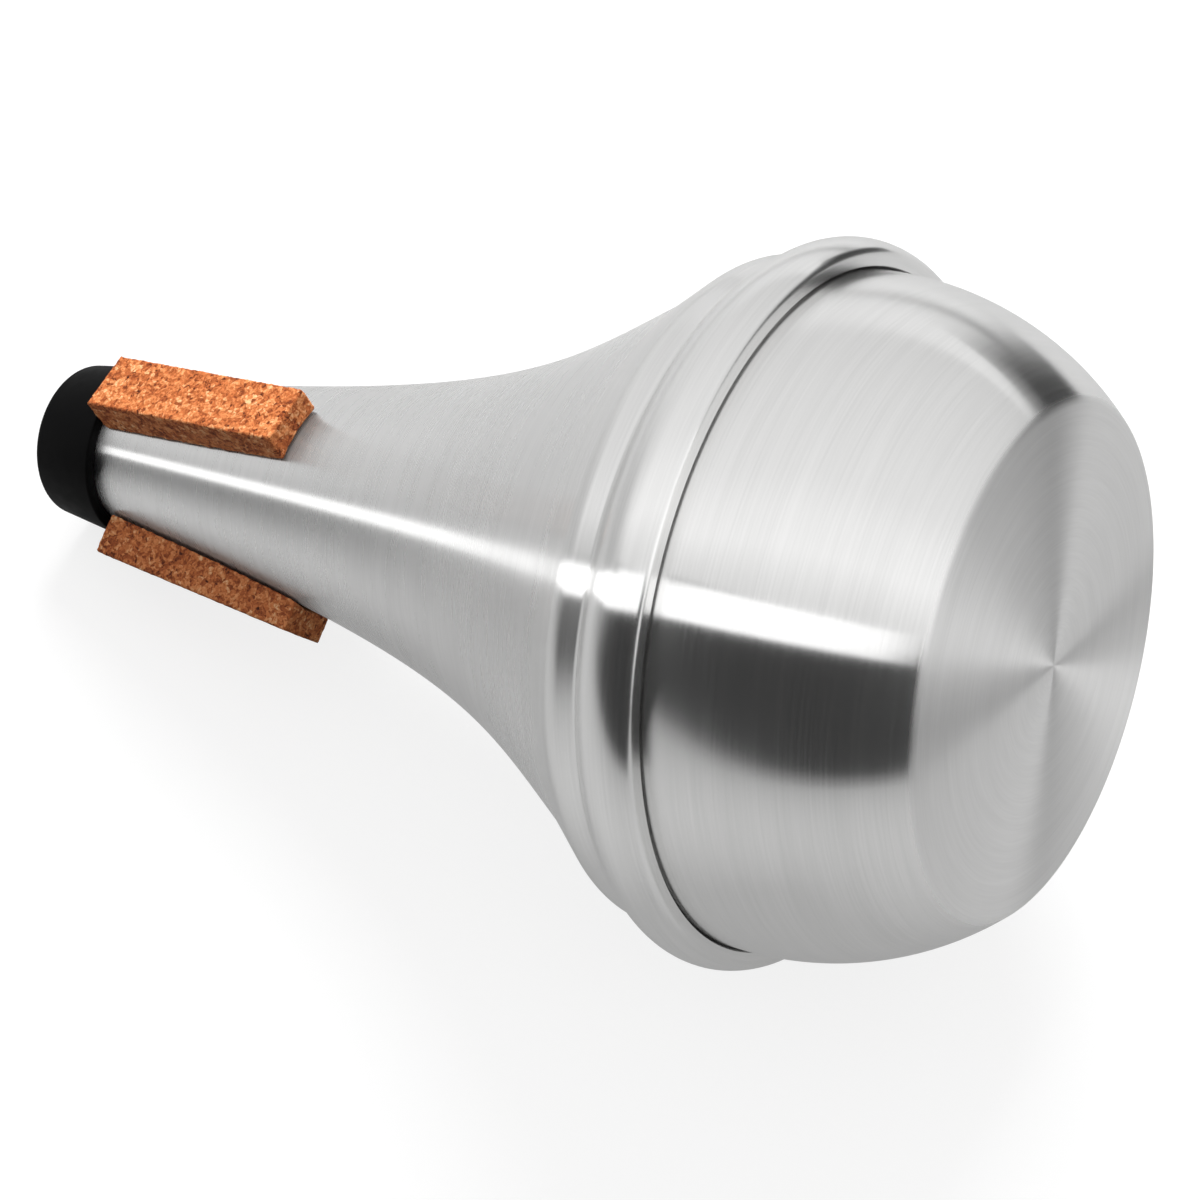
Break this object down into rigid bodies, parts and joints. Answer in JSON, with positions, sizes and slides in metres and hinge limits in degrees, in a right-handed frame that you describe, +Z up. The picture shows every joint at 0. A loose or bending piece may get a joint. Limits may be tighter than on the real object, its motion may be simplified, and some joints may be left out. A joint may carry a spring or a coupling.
{
  "type": "trumpet straight mute",
  "caption": "Straight mute for a trumpet: a spun aluminium horn crimped over a domed base cup, with cork strips and a rubber ring at its small open end.",
  "frame": {"origin": "centre of the bounding box's base, on the surface that the mute lies on", "axes": "the mute lies on its side, on its bead and on the rubber ring: its axis is in the XZ plane and rises about 17 degrees towards +X, with the small open end at -X and the closed end at +X; +Z is up, and -Y is the side that the picture shows"},
  "size_m": [0.1722, 0.1018, 0.0979],
  "materials": {
    "horn_aluminium": "fine spun lines around the axis, clear satin",
    "cup_aluminium": "fine spun lines around the axis, clear satin",
    "sealant": "cured sealing compound, dull",
    "ring_rubber": "smooth black, matt",
    "cork": "pressed granulated cork, sanded"
  },
  "bodies": {
    "root": {"horn_shell": "horn_aluminium", "base_cup": "cup_aluminium", "seam_sealant_ring": "sealant", "end_ring": "ring_rubber", "cork_strip_1": "cork", "cork_strip_2": "cork", "cork_strip_3": "cork"}
  },
  "joints": []
}
